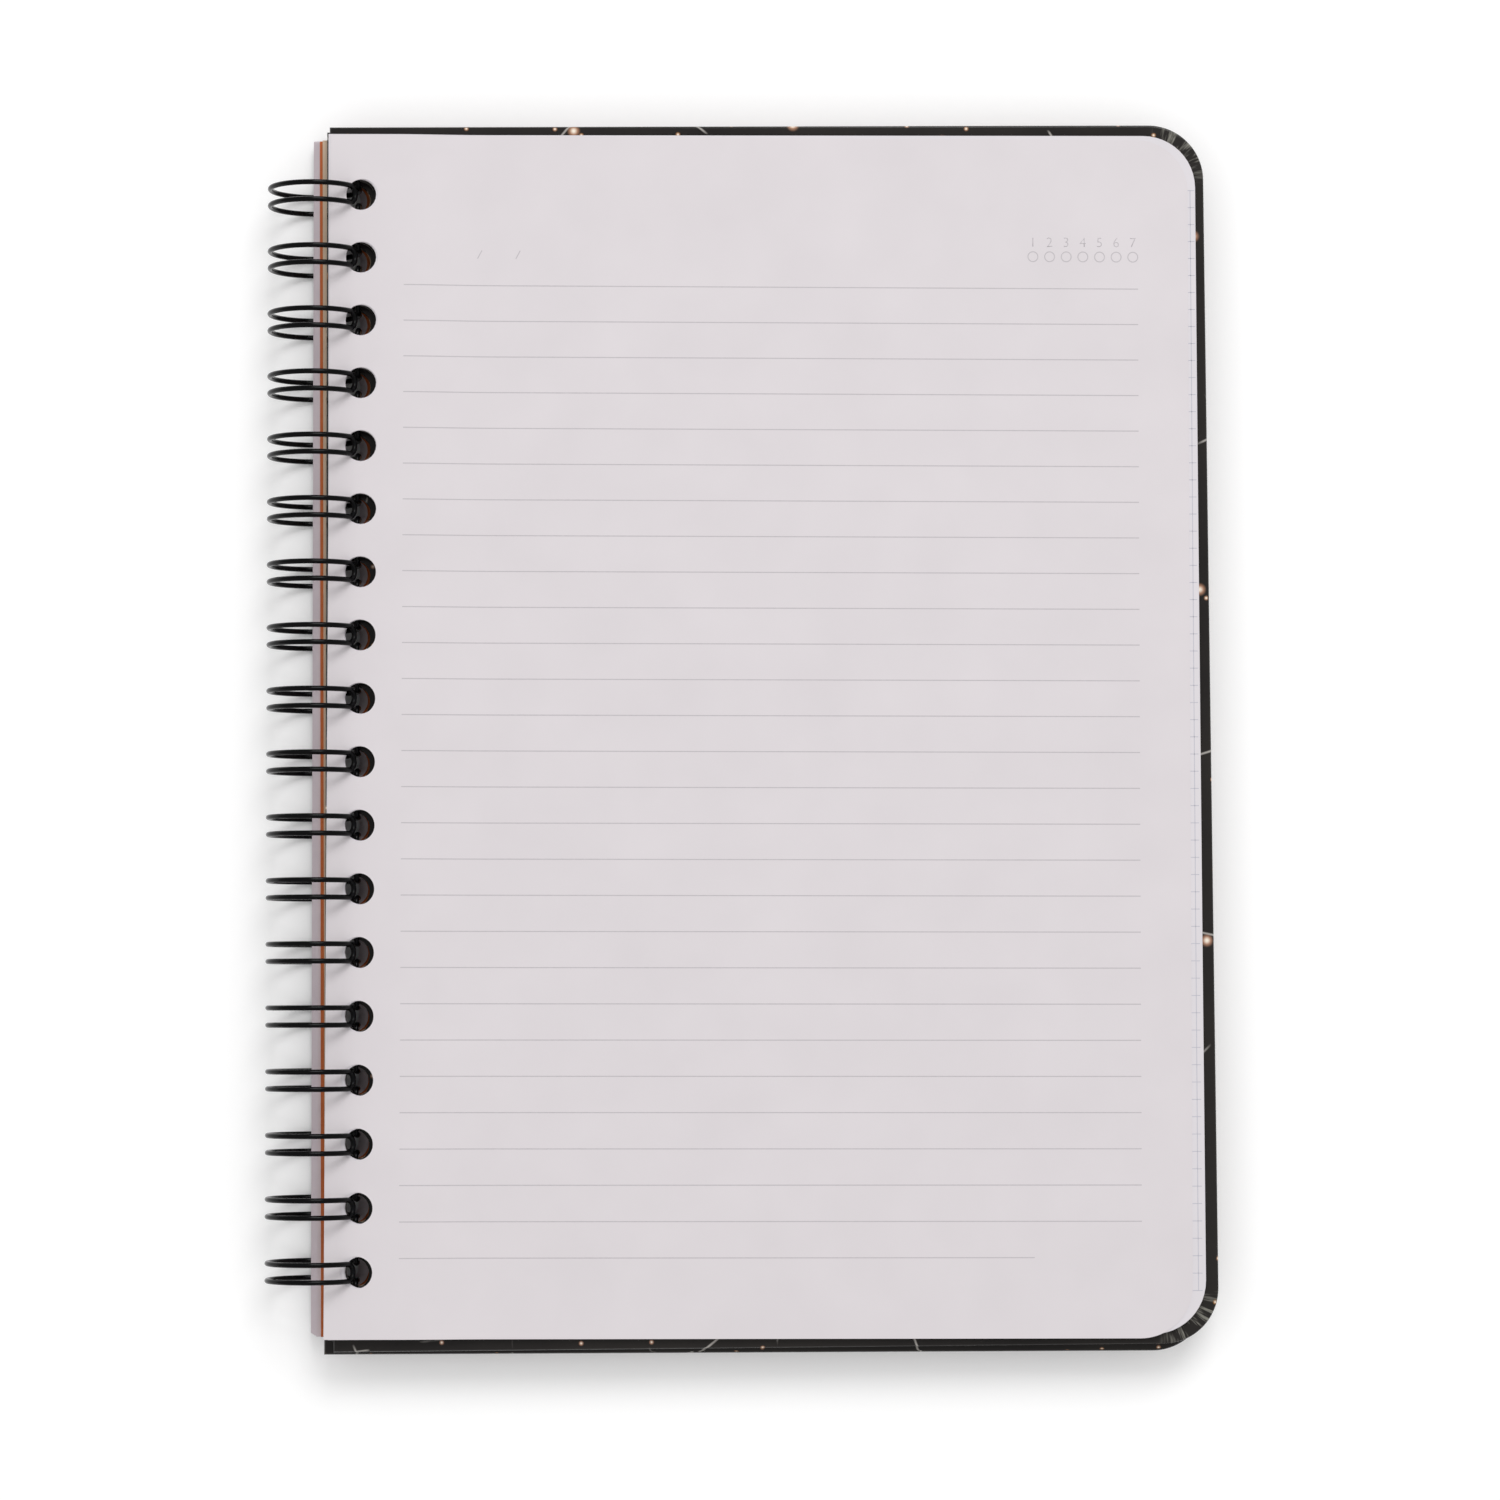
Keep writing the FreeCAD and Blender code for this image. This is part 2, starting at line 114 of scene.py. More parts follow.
# %% Camera
AIM = Vector((2.5, -4.12, 14.0)) * MM
CAMERA_DISTANCE = 902.6 * MM
CAMERA_TURN = Euler((0.0560, -0.0288, -0.0028))
FOCAL_LENGTH = 108.15

camera_data = bpy.data.cameras.new("camera")
camera_data.lens = FOCAL_LENGTH
camera = bpy.data.objects.new("camera", camera_data)
bpy.context.scene.collection.objects.link(camera)
camera.rotation_euler = CAMERA_TURN
camera.location = AIM + CAMERA_TURN.to_matrix() @ Vector((0, 0, CAMERA_DISTANCE))
bpy.context.scene.camera = camera
print("camera %.0f mm above the page" % (camera.location.z / MM))

# %% [markdown]
# ## Selecting and finishing
#
# A modeller works with one object selected, goes into edit mode, picks some faces and
# moves them.  These helpers do the same.  `pick` selects by place or normal, because a
# script has no mouse, and `apply_modifier` adds a modifier and applies it at once.

# %% Helpers for modelling
ELEMENTS = {"verts": "VERT", "edges": "EDGE", "faces": "FACE"}


def only(piece):
    bpy.ops.object.select_all(action="DESELECT")
    piece.select_set(True)
    bpy.context.view_layer.objects.active = piece


def edit(piece):
    only(piece)
    bpy.ops.object.mode_set(mode="EDIT")
    bpy.ops.mesh.select_all(action="SELECT")


def pick(kind, test):
    """Selects, in edit mode, the verts, edges or faces that pass a test."""
    bpy.ops.mesh.select_mode(type=ELEMENTS[kind])
    bpy.ops.mesh.select_all(action="DESELECT")
    mesh = bpy.context.edit_object.data
    shape = bmesh.from_edit_mesh(mesh)
    for item in getattr(shape, kind):
        if test(item):
            item.select_set(True)
    shape.select_flush_mode()
    bmesh.update_edit_mesh(mesh)


def done():
    bpy.ops.mesh.select_mode(type="VERT")
    bpy.ops.object.mode_set(mode="OBJECT")


def apply_modifier(piece, kind, **settings):
    only(piece)
    modifier = piece.modifiers.new(kind.title(), kind)
    for name, value in settings.items():
        setattr(modifier, name, value)
    bpy.ops.object.modifier_apply(modifier=modifier.name)


def repeat(piece, step, count, **merging):
    apply_modifier(piece, "ARRAY", count=count, use_relative_offset=False,
                   use_constant_offset=True, constant_offset_displace=step, **merging)


def cut(piece, tool):
    apply_modifier(piece, "BOOLEAN", operation="DIFFERENCE", solver="EXACT", object=tool)


def remove(piece):
    bpy.data.meshes.remove(piece.data)


def duplicate(piece, name):
    copy = piece.copy()
    copy.data = piece.data.copy()
    copy.name = name
    bpy.context.scene.collection.objects.link(copy)
    return copy


def join(pieces, name):
    bpy.ops.object.select_all(action="DESELECT")
    for piece in pieces:
        piece.select_set(True)
    bpy.context.view_layer.objects.active = pieces[0]
    if len(pieces) > 1:
        bpy.ops.object.join()
    pieces[0].name = name
    return pieces[0]


def smooth(piece, angle=30):
    only(piece)
    bpy.ops.object.shade_smooth_by_angle(angle=math.radians(angle))


def describe(piece):
    low, high = (Vector(f(v.co[i] for v in piece.data.vertices) for i in range(3))
                 for f in (min, max))
    faces = sum(len(p.vertices) - 2 for p in piece.data.polygons)
    print("%-22s %6d triangles   x %7.2f %7.2f   y %7.2f %7.2f   z %6.2f %6.2f" % (
        piece.name, faces, *(c / MM for pair in zip(low, high) for c in pair)))


# %% [markdown]
# ## A sheet
#
# Leaves, boards and wraps share one outline: square at the spine and round at the two
# fore corners.  A plane is stretched to size, its two fore corners are bevelled, and it
# is extruded to its thickness.  The holes are then punched with a row of cylinders, as
# the binder's punch does it.

# %% Cutting and punching a sheet
def sheet(name, shape, reach, thick, inset=0.0, facets=12):
    """A flat sheet, its underside at z = 0, set in from the outline by an inset."""
    left = reach - shape["margin"] + inset
    right = reach - shape["margin"] + shape["width"] - inset
    tail = -shape["height"] / 2 - shape["drop"] + inset
    head = shape["height"] / 2 - shape["drop"] - inset
    bpy.ops.mesh.primitive_plane_add(size=1)
    piece = bpy.context.object
    piece.name = name
    piece.location = ((left + right) / 2, (tail + head) / 2, 0)
    piece.scale = (right - left, head - tail, 1)
    bpy.ops.object.transform_apply()
    edit(piece)
    pick("verts", lambda v: v.co.x > (left + right) / 2)
    bpy.ops.mesh.bevel(offset=shape["corner"] - inset, segments=facets, affect="VERTICES")
    bpy.ops.mesh.select_all(action="SELECT")
    bpy.ops.mesh.extrude_region_move(TRANSFORM_OT_translate={"value": (0, 0, thick)})
    bpy.ops.mesh.select_all(action="SELECT")
    bpy.ops.mesh.normals_make_consistent(inside=False)
    done()
    return piece


def punch(piece, reach, sides=24):
    """Punches the row of holes through a sheet."""
    bpy.ops.mesh.primitive_cylinder_add(vertices=sides, radius=HOLE / 2, depth=HOLE,
                                        location=(reach, -ROW / 2, 0))
    tool = bpy.context.object
    bpy.ops.object.transform_apply()
    repeat(tool, (0, PITCH, 0), LOOPS)
    cut(piece, tool)
    remove(tool)


def cut_across(start, length, columns):
    """Cuts the piece in edit mode across along its bend, so that it can curve there."""
    for column in range(columns + 1):
        bpy.ops.mesh.select_all(action="SELECT")
        bpy.ops.mesh.bisect(plane_co=(start + length * column / columns, 0, 0),
                            plane_no=(1, 0, 0))


def draw_up(piece, rise, bend):
    """Draws a sheet up towards the spine in a smooth S over the length of its bend."""
    edit(piece)
    cut_across(**bend)
    pick("verts", lambda v: v.co.x < bend["start"] + CLOSE)
    bpy.ops.transform.translate(value=(0, 0, rise), use_proportional_edit=True,
                                proportional_edit_falloff="SMOOTH",
                                proportional_size=bend["length"])
    done()


def place(piece, height, skew=0.0, slip=0.0, lean=0.0):
    """Sets a sheet on the pile, turned about the loops' axis."""
    only(piece)
    piece.rotation_euler.z = math.radians(skew)
    piece.location = (AXIS_X + lean, slip, height)
    bpy.ops.object.transform_apply()


# %% [markdown]
# ## Materials
#
# A material here starts from what the real one is and how its surface was made.  Colours
# are written as sRGB hex and turned to linear by one function, and one function adds a
# node with its inputs, so that each recipe below reads as a list.

# %% Helpers for materials
def linear(colour):
    """An sRGB hex colour as linear red, green, blue and alpha."""
    channels = [int(colour[i:i + 2], 16) / 255 for i in (0, 2, 4)]
    return [c / 12.92 if c <= 0.04045 else ((c + 0.055) / 1.055) ** 2.4
            for c in channels] + [1.0]


def add(tree, kind, inputs=None, **settings):
    """Adds a node: an input is a value, or another node's output to be linked to it."""
    node = tree.nodes.new(kind)
    for name, value in settings.items():
        setattr(node, name, value)
    for name, value in (inputs or {}).items():
        if isinstance(value, bpy.types.NodeSocket):
            tree.links.new(value, node.inputs[name])
        else:
            node.inputs[name].default_value = value
    return node


def new_material(name, **shader):
    """A material whose shader has these constant values; returns its tree and shader."""
    material = bpy.data.materials.new(name)
    material.use_nodes = True
    tree = material.node_tree
    principled = tree.nodes["Principled BSDF"]
    for socket, value in shader.items():
        principled.inputs[socket.replace("_", " ")].default_value = value
    return material, tree, principled


def per(size):
    """The scale of a texture whose features are this long."""
    return 1 / size


def mottle(tree, principled, size, light, dark, **texture):
    """Lets the colour drift between two tones in patches of this size; returns the
    object's own coordinates and the noise, for the textures that go with it."""
    place_on = add(tree, "ShaderNodeTexCoord").outputs["Object"]
    noise = add(tree, "ShaderNodeTexNoise", {"Vector": place_on, "Scale": per(size),
                                             **texture}).outputs["Fac"]
    tone = add(tree, "ShaderNodeMix", {0: noise, 6: linear(dark), 7: linear(light)},
               data_type="RGBA")
    tree.links.new(tone.outputs[2], principled.inputs["Base Color"])
    return place_on, noise


def set_bump(tree, principled, height, depth, strength=1.0):
    bump = add(tree, "ShaderNodeBump", {"Height": height, "Distance": depth,
                                        "Strength": strength})
    tree.links.new(bump.outputs[0], principled.inputs["Normal"])


# %% [markdown]
# ### Paper
#
# Uncoated writing paper is a felt of fibres pressed flat.  It has no gloss, its tone
# drifts a little where the pulp is thicker or thinner, which makers call the formation,
# and close up it has a fine tooth.  The formation is a soft noise some 14 mm across and
# the tooth one of a quarter of a millimetre, coarser than real fibres so that it shows.

# %% Paper
FORMATION = 14 * MM
TOOTH = 0.25 * MM
TOOTH_DEPTH = 0.012 * MM


def paper(name, light, dark):
    material, tree, principled = new_material(name, Roughness=0.88, IOR=1.47)
    place_on, _ = mottle(tree, principled, FORMATION, light, dark, Detail=3.0)
    tooth = add(tree, "ShaderNodeTexNoise", {"Vector": place_on, "Scale": per(TOOTH),
                                             "Detail": 2.0})
    set_bump(tree, principled, tooth.outputs["Fac"], TOOTH_DEPTH, 0.5)
    return material


RULED_PAPER = paper("uncoated writing paper", "E4DEE1", "DCD6D9")
BLOCK_PAPER = paper("uncoated squared paper", "E5E0E4", "DDD9DD")
# The turned pile is the ruled leaf's white paper made darker and pinker: painted shade and
# painted bounced light between its leaves.
SHADED_TURNED_PAPER = paper("uncoated paper, painted shade between leaves", "DED4D8", "D0C5CA")
TAN_PAPER = paper("tinted intro paper", "E2CAB0", "D1B89F")
LINING_PAPER = paper("lining paper", "E2E0DD", "D8D5D2")
print("papers:", sum("paper" in m.name for m in bpy.data.materials))

# %% [markdown]
# ### Card and board
#
# The divider is a dyed-through card, and the cover's core is grey board, made of
# recycled pulp and full of darker and lighter flecks.  Both are seen at their cut edges.

# %% Divider card and grey board
FLECK = 0.6 * MM
FLECK_DEPTH = 0.03 * MM


def pulp(name, light, dark):
    material, tree, principled = new_material(name, Roughness=0.92, IOR=1.47)
    _, flecks = mottle(tree, principled, FLECK, light, dark, Detail=4.0, Roughness=0.7)
    set_bump(tree, principled, flecks, FLECK_DEPTH, 0.6)
    return material


ORANGE_CARD = pulp("dyed orange card", "C9703F", "AE5A30")
GREY_BOARD = pulp("grey board", "8E8982", "6F6A64")
print("card and board:", ORANGE_CARD.name, "and", GREY_BOARD.name)

# %% [markdown]
# ### Printed wrap
#
# The covers are wrapped in printed, film-laminated paper: a night-black ground with
# small warm lights strewn over it and a few hair-thin pale streaks.  The lights are the
# cell centres of a Voronoi texture: within a small radius of a centre the colour goes
# from warm white to orange to black, and each cell's own random colour decides whether
# its light is lit and how warm it is.  The streaks are the thin edges between much
# larger cells, broken up by a noise.  The film gives a soft gloss with a slight ripple.

# %% The printed lights
HALO_ENDS, CORE_STARTS = 0.45, 0.95


def scattered_lights(tree, flat, cell, radius, share):
    """Round glows at random places: their strength and a random number for each."""
    cells = add(tree, "ShaderNodeTexVoronoi", {"Vector": flat, "Scale": per(cell)},
                voronoi_dimensions="2D")
    random_parts = add(tree, "ShaderNodeSeparateColor", {0: cells.outputs["Color"]})
    glow = add(tree, "ShaderNodeMapRange", {
        "Value": cells.outputs["Distance"], "From Min": 0.0, "From Max": radius / cell,
        "To Min": 1.0, "To Max": 0.0}, interpolation_type="SMOOTHSTEP")
    lit = add(tree, "ShaderNodeMath", {0: random_parts.outputs[0], 1: 1 - share},
              operation="GREATER_THAN")
    strength = add(tree, "ShaderNodeMath", {0: glow.outputs[0], 1: lit.outputs[0]},
                   operation="MULTIPLY")
    return strength.outputs[0], random_parts.outputs[1]


def glowing(tree, strength, warmth):
    """The colour of a printed light: warm white in the middle, orange further out."""
    halo = add(tree, "ShaderNodeMix", {0: warmth, 6: linear("E8A45C"),
                                       7: linear("F0B8A0")}, data_type="RGBA")
    core = add(tree, "ShaderNodeMapRange", {"Value": strength, "From Min": HALO_ENDS,
                                            "From Max": CORE_STARTS})
    return add(tree, "ShaderNodeMix", {0: core.outputs[0], 6: halo.outputs[2],
                                       7: linear("FFF4E2")}, data_type="RGBA").outputs[2]


# %% [markdown]
# The print is flat on the faces and runs on down the walls: there the distance below the
# face is added along the wall's own normal.
#
# At the two fore corners the flap is gathered in pleats, and a light grey painted
# highlight runs along their crests.  It is a noise stretched along the rays from the
# corner's centre: its texture space is the angle round that centre, with very little of
# the distance.

# %% The print at the walls and the painted highlights on the pleats
PRINT_OFFSET = (47 * MM, 61 * MM, 0)
PLEAT_PITCH = 0.7 * MM
RAY_SCALE = (COVER_CORNER, 0.12, 0.05)
# The noise values over which the painted pleat highlight goes from none to full.
HIGHLIGHT_FROM, HIGHLIGHT_FULLY = 0.5, 0.68
PAST_CENTRE = (-1 * MM, 3 * MM)
AT_THE_RIM = (COVER_CORNER - 6 * MM, COVER_CORNER - 2 * MM)
FACING_IN = (0.2, 0.5)


def folded_down(tree, place_on, facing, side, inner):
    """Flat print coordinates that run on from the inner face down the cover's walls."""
    low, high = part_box(side + "_cover_wrap")
    parts = add(tree, "ShaderNodeSeparateXYZ", {0: place_on})
    below = add(tree, "ShaderNodeMath", {0: high.z if inner > 0 else low.z,
                                         1: parts.outputs[2]}, operation="SUBTRACT")
    depth = add(tree, "ShaderNodeMath", {0: below.outputs[0], 1: float(inner)},
                operation="MULTIPLY")
    fold = add(tree, "ShaderNodeVectorMath", {0: facing, "Scale": depth.outputs[0]},
               operation="SCALE")
    unfolded = add(tree, "ShaderNodeVectorMath", {0: place_on, 1: fold.outputs[0]},
                   operation="ADD")
    return add(tree, "ShaderNodeMapping", {
        "Vector": unfolded.outputs[0], "Scale": (1, 1, 0),
        "Location": PRINT_OFFSET}).outputs[0]


def rubbed_pleats(tree, place_on, facing, side, inner):
    """How strongly the painted highlight lies on the pleats at the two fore corners of a
    cover.
    """
    low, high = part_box(side + "_cover_wrap")
    middle_y = (low.y + high.y) / 2
    local = add(tree, "ShaderNodeVectorMath", {
        0: place_on, 1: (high.x - COVER_CORNER, middle_y, 0)}, operation="SUBTRACT")
    parts = add(tree, "ShaderNodeSeparateXYZ", {0: local.outputs[0]})
    to_end = add(tree, "ShaderNodeMath", {0: parts.outputs[1]}, operation="ABSOLUTE")
    along_y = add(tree, "ShaderNodeMath", {0: to_end.outputs[0],
                                           1: (high.y - low.y) / 2 - COVER_CORNER},
                  operation="SUBTRACT")
    angle = add(tree, "ShaderNodeMath", {0: along_y.outputs[0], 1: parts.outputs[0]},
                operation="ARCTAN2")
    out = add(tree, "ShaderNodeCombineXYZ", {0: parts.outputs[0], 1: along_y.outputs[0]})
    distance = add(tree, "ShaderNodeVectorMath", {0: out.outputs[0]}, operation="LENGTH")
    ray = add(tree, "ShaderNodeCombineXYZ", {
        0: angle.outputs[0], 1: distance.outputs["Value"], 2: parts.outputs[1]})
    stretched = add(tree, "ShaderNodeMapping", {"Vector": ray.outputs[0],
                                                "Scale": RAY_SCALE})
    crests = add(tree, "ShaderNodeTexNoise", {"Vector": stretched.outputs[0],
                                              "Scale": per(PLEAT_PITCH), "Detail": 3.0})
    crest_highlight = add(tree, "ShaderNodeMapRange", {
        "Value": crests.outputs["Fac"], "From Min": HIGHLIGHT_FROM, "From Max": HIGHLIGHT_FULLY})
    turned = add(tree, "ShaderNodeSeparateXYZ", {0: facing})
    inward = add(tree, "ShaderNodeMath", {0: turned.outputs[2], 1: float(inner)},
                 operation="MULTIPLY")
    for value, (start, full) in ((parts.outputs[0], PAST_CENTRE),
                                 (along_y.outputs[0], PAST_CENTRE),
                                 (distance.outputs["Value"], AT_THE_RIM),
                                 (inward.outputs[0], FACING_IN)):
        gate = add(tree, "ShaderNodeMapRange", {"Value": value, "From Min": start,
                                                "From Max": full})
        crest_highlight = add(tree, "ShaderNodeMath", {0: crest_highlight.outputs[0], 1: gate.outputs[0]},
                     operation="MULTIPLY")
    return crest_highlight.outputs[0]


# %% [markdown]
# The two covers have a material each, because their inner faces look opposite ways and
# the print has to know which way its walls go.

# %% Printed wrap
LIGHT_CELL = 6.0 * MM
LIGHT_RADIUS = 0.6 * MM
LIGHT_SHARE = 0.4
LAMP_CELL = 24.0 * MM
LAMP_RADIUS = 1.5 * MM
LAMP_SHARE = 0.6
STREAK_CELL = 30.0 * MM
STREAK_WIDTH = 0.3 * MM
STREAK_BREAK = 16 * MM
BROKEN_UNDER, WHOLE_OVER = 0.5, 0.54
MURK = 25 * MM
FILM_RIPPLE = 2 * MM
FILM_DEPTH = 0.03 * MM


def printed_wrap(side, inner):
    """The wrap of one cover; inner is 1 where its inner face looks up, else -1."""
    material, tree, principled = new_material(
        "film-laminated printed wrap, " + side, Roughness=0.15, IOR=1.5,
        Specular_IOR_Level=0.18)
    coordinates = add(tree, "ShaderNodeTexCoord")
    place_on = coordinates.outputs["Object"]
    facing = coordinates.outputs["Normal"]
    flat = folded_down(tree, place_on, facing, side, inner)
    murk = add(tree, "ShaderNodeTexNoise", {"Vector": flat, "Scale": per(MURK),
                                            "Detail": 4.0})
    colour = add(tree, "ShaderNodeMix", {0: murk.outputs["Fac"], 6: linear("1C1A1B"),
                                         7: linear("33302D")}, data_type="RGBA").outputs[2]
    streak_cells = add(tree, "ShaderNodeTexVoronoi", {
        "Vector": flat, "Scale": per(STREAK_CELL)}, voronoi_dimensions="2D",
        feature="DISTANCE_TO_EDGE")
    streak = add(tree, "ShaderNodeMapRange", {
        "Value": streak_cells.outputs["Distance"], "From Min": 0.0,
        "From Max": STREAK_WIDTH / STREAK_CELL, "To Min": 0.8, "To Max": 0.0})
    breaks = add(tree, "ShaderNodeTexNoise", {"Vector": flat, "Scale": per(STREAK_BREAK)})
    kept = add(tree, "ShaderNodeMapRange", {
        "Value": breaks.outputs["Fac"], "From Min": BROKEN_UNDER, "From Max": WHOLE_OVER})
    faint = add(tree, "ShaderNodeMath", {0: streak.outputs[0], 1: kept.outputs[0]},
                operation="MULTIPLY")
    colour = add(tree, "ShaderNodeMix", {0: faint.outputs[0], 6: colour,
                                         7: linear("C9C4BE")}, data_type="RGBA").outputs[2]
    for cell, radius, share in ((LIGHT_CELL, LIGHT_RADIUS, LIGHT_SHARE),
                                (LAMP_CELL, LAMP_RADIUS, LAMP_SHARE)):
        strength, warmth = scattered_lights(tree, flat, cell, radius, share)
        light = glowing(tree, strength, warmth)
        colour = add(tree, "ShaderNodeMix", {0: strength, 6: colour, 7: light},
                     data_type="RGBA").outputs[2]
    crest_highlight = rubbed_pleats(tree, place_on, facing, side, inner)
    # Painted highlight: light grey along the pleat crests, laid over the print.
    colour = add(tree, "ShaderNodeMix", {0: crest_highlight, 6: colour, 7: linear("8F8D84")},
                 data_type="RGBA").outputs[2]
    tree.links.new(colour, principled.inputs["Base Color"])
    ripple = add(tree, "ShaderNodeTexNoise", {"Vector": place_on,
                                              "Scale": per(FILM_RIPPLE)})
    relief = add(tree, "ShaderNodeMath", {0: ripple.outputs["Fac"], 1: crest_highlight},
                 operation="ADD")
    set_bump(tree, principled, relief.outputs[0], FILM_DEPTH, 0.6)
    return material


PRINTED_WRAPS = {"back": printed_wrap("back", 1), "front": printed_wrap("front", -1)}
print("wraps:", " and ".join(PRINTED_WRAPS))

# %% [markdown]
# ### Coated wire
#
# The comb is steel wire drawn through a bath of black nylon.  The coat is smooth and
# glossy with a faint unevenness, which breaks the long highlights on the loops.  Only
# the two cut ends of the wire show the bright steel.

# %% Coated wire, its cut ends and the printing ink
COAT_RIPPLE = 1.5 * MM
SMOOTHEST, ROUGHEST = 0.12, 0.24
SHEAR_MARK = 0.2 * MM
INK_PATCH = 0.8 * MM


def coated_wire():
    material, tree, principled = new_material("nylon-coated wire, black", IOR=1.53,
                                              Specular_IOR_Level=0.15)
    principled.inputs["Base Color"].default_value = linear("040405")
    place_on = add(tree, "ShaderNodeTexCoord").outputs["Object"]
    uneven = add(tree, "ShaderNodeTexNoise", {"Vector": place_on,
                                              "Scale": per(COAT_RIPPLE), "Detail": 3.0})
    gloss = add(tree, "ShaderNodeMapRange", {
        "Value": uneven.outputs["Fac"], "To Min": SMOOTHEST, "To Max": ROUGHEST})
    tree.links.new(gloss.outputs[0], principled.inputs["Roughness"])
    set_bump(tree, principled, uneven.outputs["Fac"], 0.01 * MM, 0.6)
    return material


def cut_steel():
    material, tree, principled = new_material("cut steel", Metallic=1.0, Roughness=0.4)
    mottle(tree, principled, SHEAR_MARK, "C4C6C8", "8E9094")
    return material


def ink(name, light, dark):
    """Offset ink on uncoated paper: thin, matt and a little uneven."""
    material, tree, principled = new_material(name, Roughness=0.8, IOR=1.48)
    mottle(tree, principled, INK_PATCH, light, dark)
    return material


COATED_WIRE = coated_wire()
CUT_STEEL = cut_steel()
GREY_INK = ink("grey offset ink", "CBC6C9", "BEB9BD")
PALE_INK = ink("pale offset ink", "CAC9D1", "BFBEC9")
print("materials:", len(bpy.data.materials))


def coat(piece, *materials):
    piece.data.materials.clear()
    for material in materials:
        piece.data.materials.append(material)


# %% [markdown]
# ## The wire comb
#
# One wire makes all eighteen twin loops.  It is bent on a forming machine, and it is
# modelled in the same order: a circle of the wire's section is extruded along the
# straight link between two loops, spun through the small bend into a leg, spun round the
# loop, and spun round half of the hairpin at the tip.  A mirror gives the second leg,
# and an array that merges its copies gives the row, so the result is one tube.

# %% Bend half a loop
WIRE_SIDES = 14
RING_STEPS = 84
BEND_STEPS = 6
LINK_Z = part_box("back_cover_wrap")[1].z + LINK_PLAY + WIRE / 2 - AXIS_Z
link_angle = math.asin(LINK_Z / math.hypot(LOOP_RADIUS, LINK_BEND))
leg_start = link_angle - math.atan2(LINK_BEND, LOOP_RADIUS)
apex_angle = link_angle + (WIRE + TIP_GAP) / LOOP_RADIUS
leg_end = apex_angle + math.atan2(LEG_SPACING / 2, LOOP_RADIUS)


def outward(angle):
    """The direction out from the loops' axis, at an angle above +X."""
    return Vector((math.cos(angle), 0, math.sin(angle)))


def spin_on(angle, steps, centre, axis):
    """Carries the selected ring on round an axis; spin turns left-handed, so minus."""
    bpy.ops.mesh.spin(steps=steps, angle=-angle, center=centre, axis=axis)


def half_loop():
    """Link, bend, leg and half the hairpin tip, on the tail side of a loop."""
    onward = outward(leg_start + math.pi / 2)
    link_run = (PITCH - LEG_SPACING) / 2 - LINK_BEND
    link_at = outward(leg_start) * LOOP_RADIUS + onward * LINK_BEND
    bend_centre = outward(leg_start) * LOOP_RADIUS
    bend_centre.y = -LEG_SPACING / 2 - LINK_BEND
    bpy.ops.mesh.primitive_circle_add(
        vertices=WIRE_SIDES, radius=WIRE / 2, rotation=(math.pi / 2, 0, 0),
        location=(link_at.x, -PITCH / 2, link_at.z))
    piece = bpy.context.object
    bpy.ops.object.transform_apply()
    edit(piece)
    bpy.ops.mesh.extrude_region_move(TRANSFORM_OT_translate={"value": (0, link_run, 0)})
    spin_on(math.pi / 2, BEND_STEPS, bend_centre, -outward(leg_start))
    spin_on(2 * math.pi - (leg_end - leg_start), RING_STEPS, (0, -LEG_SPACING / 2, 0),
            (0, 1, 0))
    spin_on(math.pi / 2, BEND_STEPS, outward(leg_end) * LOOP_RADIUS, outward(leg_end))
    shape = bmesh.from_edit_mesh(piece.data)
    ring = [v.co.copy() for v in shape.verts if v.select]
    print("hairpin middle at", [round(sum(c) / len(ring) / MM, 2) for c in zip(*ring)])
    bpy.ops.mesh.select_all(action="SELECT")
    bpy.ops.mesh.remove_doubles(threshold=CLOSE / 10)
    done()
    return piece


wire = half_loop()

# %% [markdown]
# The half loop is made whole and repeated.  Only the wire's first and last end are open
# then; they are closed, and the steel shows there.

# %% Mirror it, repeat it and close its ends
apply_modifier(wire, "MIRROR", use_axis=(False, True, False), use_mirror_merge=True,
               merge_threshold=CLOSE)
wire.location = (AXIS_X, -ROW / 2, AXIS_Z)
bpy.ops.object.transform_apply()
repeat(wire, (0, PITCH, 0), LOOPS, use_merge_vertices=True, merge_threshold=CLOSE)
edit(wire)
bpy.ops.mesh.fill_holes(sides=0)
bpy.ops.mesh.select_all(action="SELECT")
bpy.ops.mesh.normals_make_consistent(inside=False)
done()
coat(wire, COATED_WIRE, CUT_STEEL)
for face in wire.data.polygons:
    if len(face.vertices) > 4:
        face.material_index = 1
wire.name = "twin_loop_wire"
smooth(wire, 50)
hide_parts("binding_wire")
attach(wire, "spine")
describe(wire)

# %% [markdown]
# ## Covers
#
# A cover is a grey board with printed paper wrapped round it and turned in over its
# inner face, where a lining covers the raw edges.  The board is a sheet with its edges
# eased.  The wrap starts as a slightly larger sheet; the board is cut out of it, and so
# is the window that the turned-in flaps leave open, so that a true skin of paper is left.
#
# Round a corner the flap has too much paper, and the binder gathers it in small pleats
# that run out from the corner's centre.  They are modelled: the corner's rim is picked
# facet by facet and each is lifted by its own small amount.

# %% Board and wrap
EDGE_EASE = 0.5 * MM
PLEAT_HEIGHT = 0.1 * MM
PLEAT_LEVELS = (0.0, 0.3, 1.0)
PLEATS = 30
RIM = 4.5 * MM
RIM_FADE = 1.5 * MM
PLEATS_IN = 0.5 * MM
WINDOW_EASE = 3.0 * MM


def ease_edges(piece, width, thick):
    """Rounds the rims of both faces of a flat sheet."""
    edit(piece)
    pick("edges", lambda e: abs(e.verts[0].co.z - e.verts[1].co.z) < thick / 2)
    bpy.ops.mesh.bevel(offset=width, segments=3, affect="EDGES")
    done()


